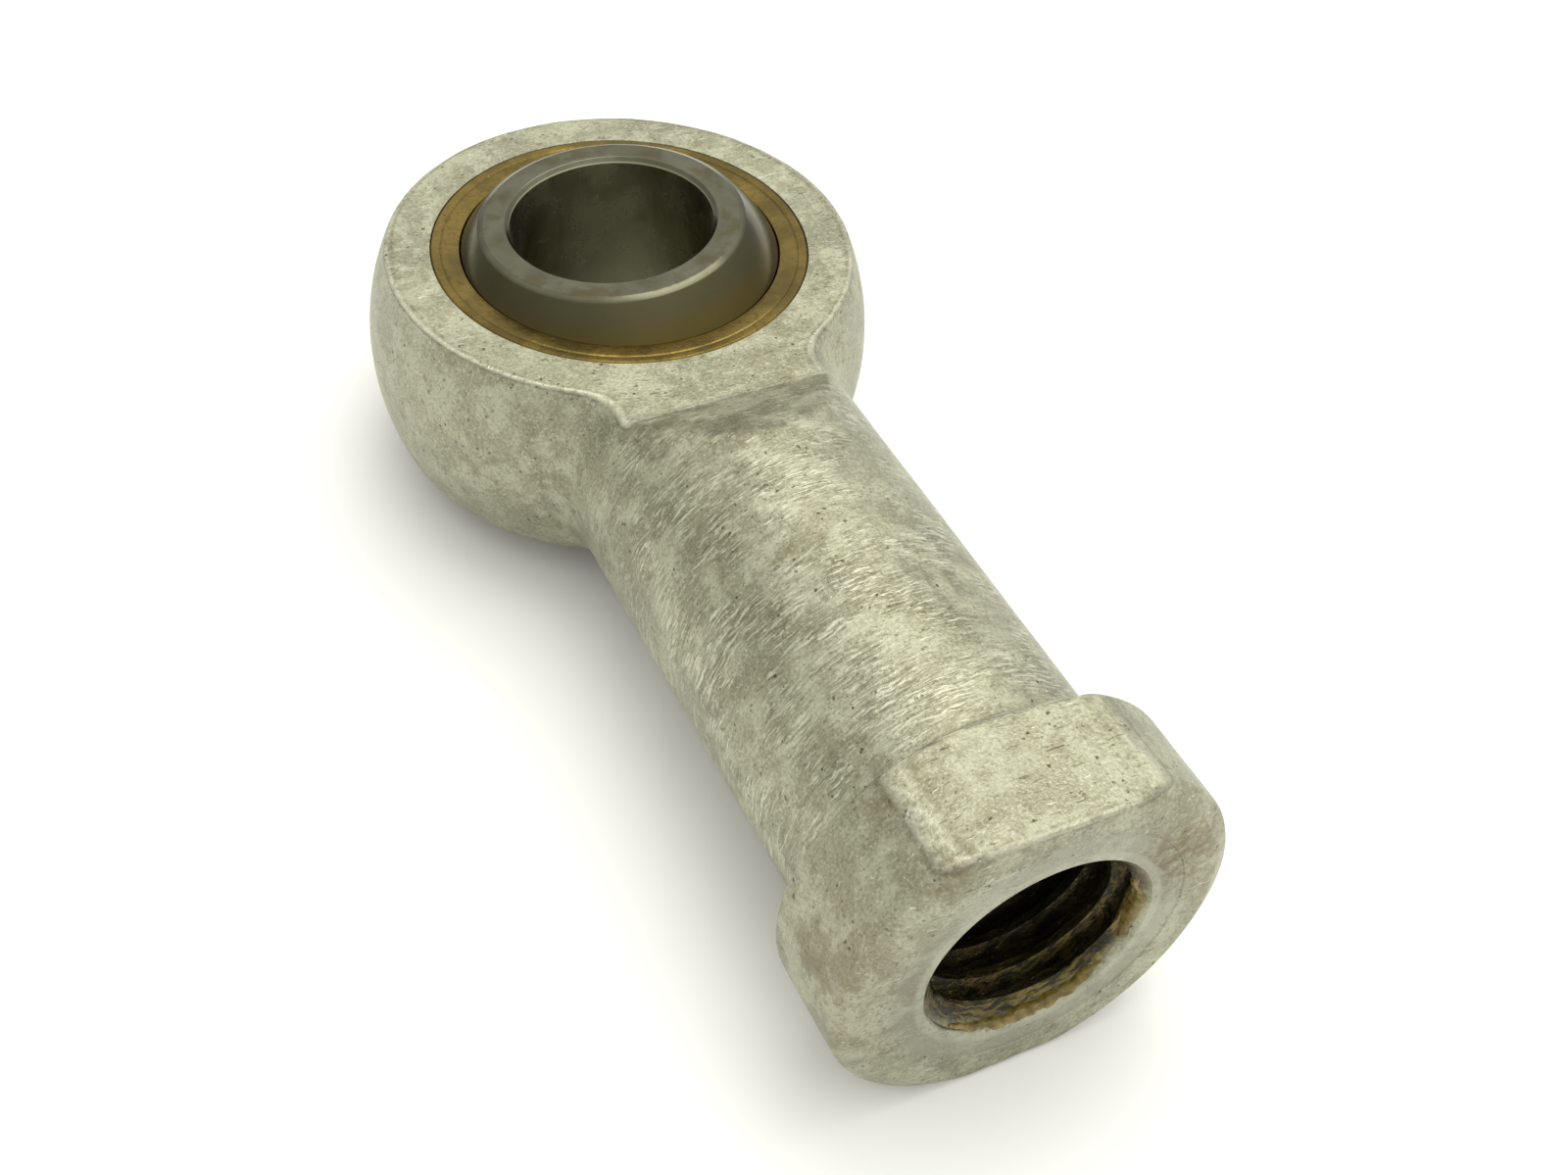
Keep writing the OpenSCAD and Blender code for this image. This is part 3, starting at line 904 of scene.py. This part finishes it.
# The gold tint on this line is painted: it stands for the bronze reflected in the sphere.
oiled_sphere, bronze_reflection_gold, bright_bore = rgb(72, 68, 46), rgb(94, 78, 34), rgb(150, 148, 124)
ball_steel, tree, shader, place = new_finish("ground_ball_steel")
haze = cloud(tree, place, 2.5, 4, 0.6, 1.2)
streak = cloud(tree, place, 1.6, 4, 0.6, 6.2)
on_axis = add(tree, "VectorMath", {"operation": "DOT_PRODUCT"}, Vector=place)
on_axis.inputs[1].default_value = tuple(ball_axis)
height_up = on_axis.outputs["Value"]
round_axis = add(tree, "VectorMath", {"operation": "CROSS_PRODUCT"}, Vector=place)
round_axis.inputs[1].default_value = tuple(ball_axis)
off_axis = add(tree, "VectorMath", {"operation": "LENGTH"}, Vector=round_axis.outputs[0]).outputs["Value"]
in_bore = ranged(tree, off_axis, (bore_r + 0.02) * mm, (bore_r + 0.1) * mm, 1.0, 0.0)
on_face = ranged(tree, height_up, (ball_z - 0.05) * mm, (ball_z - 0.02) * mm)
on_sphere = ranged(tree, off_axis, (edge_in + 0.1) * mm, (edge_out + 0.1) * mm)
colour = mixed(tree, ranged(tree, haze, 0.35, 0.65), steel_shade, steel_light)
film = times(tree, on_face, ranged(tree, streak, 0.47, 0.62))
film = times(tree, film, ranged(tree, off_axis, (bore_r + 0.3) * mm, (bore_r + 0.7) * mm))
colour = mixed(tree, times(tree, film, 0.55), colour, face_film)
colour = mixed(tree, times(tree, on_sphere, 0.85), colour, oiled_sphere)
# Painted reflection: the sphere is tinted gold where it meets the race, fading towards the ends, as the
# bronze would show in it.
painted_bronze_reflection = times(tree, on_sphere, ranged(tree, height_up, 5.9 * mm, 7.3 * mm, 0.6, 0.0))
colour = mixed(tree, painted_bronze_reflection, colour, bronze_reflection_gold)
colour = mixed(tree, in_bore, colour, bright_bore)
plug_in(tree, shader.inputs["Base Color"], colour)
shader.inputs["Metallic"].default_value = 1.0
rough = combined(tree, "MULTIPLY_ADD", in_bore, 0.06, ranged(tree, haze, 0.3, 0.7, 0.14, 0.24))
plug_in(tree, shader.inputs["Roughness"], rough)
ground_way = add(
    tree, "VectorTransform", {"convert_from": "OBJECT", "convert_to": "WORLD"}, Vector=tuple(ball_axis))
plug_in(tree, shader.inputs["Tangent"], ground_way.outputs[0])
plug_in(tree, shader.inputs["Anisotropic"], times(tree, in_bore, 0.9))
ball.data.materials.append(ball_steel)
print(ball_steel.name, "is made of", len(tree.nodes), "nodes")

# %% [markdown]
# ## Brass, wire and grease
#
# The nipple is turned brass, with faint rings round its own axis. The spring is drawn
# steel wire, and the check ball shares the large ball's steel. Grease is neither metal nor
# glass: a brown body that lets some light through, with a wet gloss.

# %% Brass
brass_shade, brass_light = rgb(168, 138, 78), rgb(206, 178, 112)
brass, tree, shader, place = new_finish("turned_brass")
swirl = cloud(tree, place, 0.25, 4, 0.6, 1.0, (1, 6, 1))
colour = mixed(tree, ranged(tree, swirl, 0.3, 0.7), brass_shade, brass_light)
plug_in(tree, shader.inputs["Base Color"], colour)
shader.inputs["Metallic"].default_value = 1.0
plug_in(tree, shader.inputs["Roughness"], ranged(tree, swirl, 0.3, 0.7, 0.2, 0.38))
plug.data.materials.append(brass)
print(brass.name, "is made of", len(tree.nodes), "nodes")

# %% Wire and check ball
wire_shade, wire_light = rgb(120, 120, 122), rgb(164, 164, 166)
wire, tree, shader, place = new_finish("drawn_wire")
draw = cloud(tree, place, 0.1, 3, 0.6, 2.0)
plug_in(tree, shader.inputs["Base Color"], mixed(tree, draw, wire_shade, wire_light))
shader.inputs["Metallic"].default_value = 1.0
plug_in(tree, shader.inputs["Roughness"], ranged(tree, draw, 0.3, 0.7, 0.25, 0.4))
spring.data.materials.append(wire)
print(wire.name, "is made of", len(tree.nodes), "nodes")
check_ball.data.materials.append(ball_steel)

# %% Grease
grease_light, grease_dark = rgb(168, 148, 78), rgb(122, 102, 42)
grease, tree, shader, place = new_finish("old_grease")
clot = cloud(tree, place, 0.5, 4, 0.6, 3.0)
colour = mixed(tree, ranged(tree, clot, 0.35, 0.65), grease_light, grease_dark)
plug_in(tree, shader.inputs["Base Color"], colour)
shader.inputs["Roughness"].default_value = 0.16
shader.inputs["Transmission Weight"].default_value = 0.45
shader.inputs["IOR"].default_value = 1.47
relief = add(tree, "Bump", Strength=0.4, Distance=0.0001, Height=clot)
plug_in(tree, shader.inputs["Normal"], relief.outputs["Normal"])
lip_bead.data.materials.append(grease)
print(grease.name, "is made of", len(tree.nodes), "nodes")
inner_bead.data.materials.append(grease)

# %% [markdown]
# ## Bodies and stand
#
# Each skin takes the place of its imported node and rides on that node's body. The part lies
# on a white table: it rests on the ball's lower end and on the collar's lower flat, so the
# table is a little tilted in the part's own frame.

# %% Bodies
for piece, body, slot_name, nodes in (
        (housing, "housing", "plated_steel", ["rod_end_body"]),
        (race, "housing", "bronze", ["outer_race"]),
        (ball, "ball", "ball_steel", ["inner_ring"]),
        (plug, "housing", "nipple_brass", ["nipple_shell"]),
        (check_ball, "check_ball", "ball_steel", ["nipple_check_ball"]),
        (spring, "housing", "spring_steel", ["nipple_spring"]),
        (lip_bead, "housing", None, []),
        (inner_bead, "housing", None, [])):
    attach(piece, body)
    if nodes:
        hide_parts(*nodes)
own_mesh(spring)

# %% The table
lowest = (ball_grid @ tilt.T).reshape(-1, 3)
lowest = lowest[lowest[:, 2].argmin()]
slope = (lowest[2] + flat_z) / (lowest[1] - heel_y)


def table_height(y):
    """The table's height under a point, in millimetres: a plane through the ball's lowest
    point and the rear edge of the collar's lower flat."""
    return lowest[2] + slope * (y - lowest[1]) - 0.02


half = 4000.0                # half the table's side
corners = [(x, y, table_height(y)) for x, y in ((-half, -half), (half, -half), (half, half), (-half, half))]
sheet = bpy.data.meshes.new("table")
sheet.from_pydata([tuple(c * mm for c in corner) for corner in corners], [], [(0, 1, 2, 3)])
table = bpy.data.objects.new("table", sheet)
bpy.context.scene.collection.objects.link(table)
white, _, shader, _ = new_finish("white_table")
shader.inputs["Base Color"].default_value = (0.92, 0.92, 0.92, 1)
shader.inputs["Roughness"].default_value = 0.9
shader.inputs["Specular IOR Level"].default_value = 0.1
sheet.materials.append(white)
print("the table slopes by", round(math.degrees(math.atan(slope)), 2), "degrees")


# %% [markdown]
# ## Light
#
# The light is soft and comes from nearly everywhere. One wide lamp hangs above, to the right
# and a little behind, and gives the faint shadow its side. A pale sky does the rest: it is
# brightest overhead and dims to the horizon, is a little brighter on the near side, and is
# darker on the left, which shades the left of the shank. More lamps could do it too,
# but each would throw a shadow of its own.

# %% The lamp
def soft_lamp(name, place, aim, width, power, tint=(1, 1, 1)):
    """A square lamp at place, turned towards aim, both in millimetres."""
    light = bpy.data.lights.new(name, "AREA")
    light.shape = "SQUARE"
    light.size = width * mm
    light.energy = power
    light.color = tint
    lamp = bpy.data.objects.new(name, light)
    bpy.context.scene.collection.objects.link(lamp)
    away = Vector(place) - Vector(aim)
    turned = away.to_track_quat("Z", "Y").to_matrix().to_4x4()
    lamp.matrix_world = Matrix.Translation(Vector(place) * mm) @ turned
    print(name, "lamp stands", round(away.length), "mm from what it lights")


soft_lamp("overhead", (150, 90, 560), (0, -20, 0), 420, 1.3, (1, 1, 0.94))

# %% Sky and picture
horizon, overhead = (0.42, 0.42, 0.395, 1), (1, 1, 0.94, 1)
near_glow, left_shade = (0.95, 0.95, 0.89, 1), (0.24, 0.24, 0.225, 1)
sky = bpy.data.worlds.new("studio")
bpy.context.scene.world = sky
sky.use_nodes = True
tree = sky.node_tree
upward = add(tree, "SeparateXYZ", Vector=tree.nodes.new("ShaderNodeTexCoord").outputs["Generated"])
height = ranged(tree, upward.outputs["Z"], -0.05, 0.9)
backdrop = tree.nodes["Background"]
near_side = ranged(tree, upward.outputs["Y"], -0.8, 0.2, 0.22, 0.0)
dome = mixed(tree, height, horizon, overhead)
dome = mixed(tree, near_side, dome, near_glow)
left_side = ranged(tree, upward.outputs["X"], -0.9, 0.1, 0.45, 0.0)
dome = mixed(tree, left_side, dome, left_shade)
plug_in(tree, backdrop.inputs["Color"], dome)
backdrop.inputs["Strength"].default_value = 1.42
bpy.context.scene.view_settings.view_transform = "Standard"
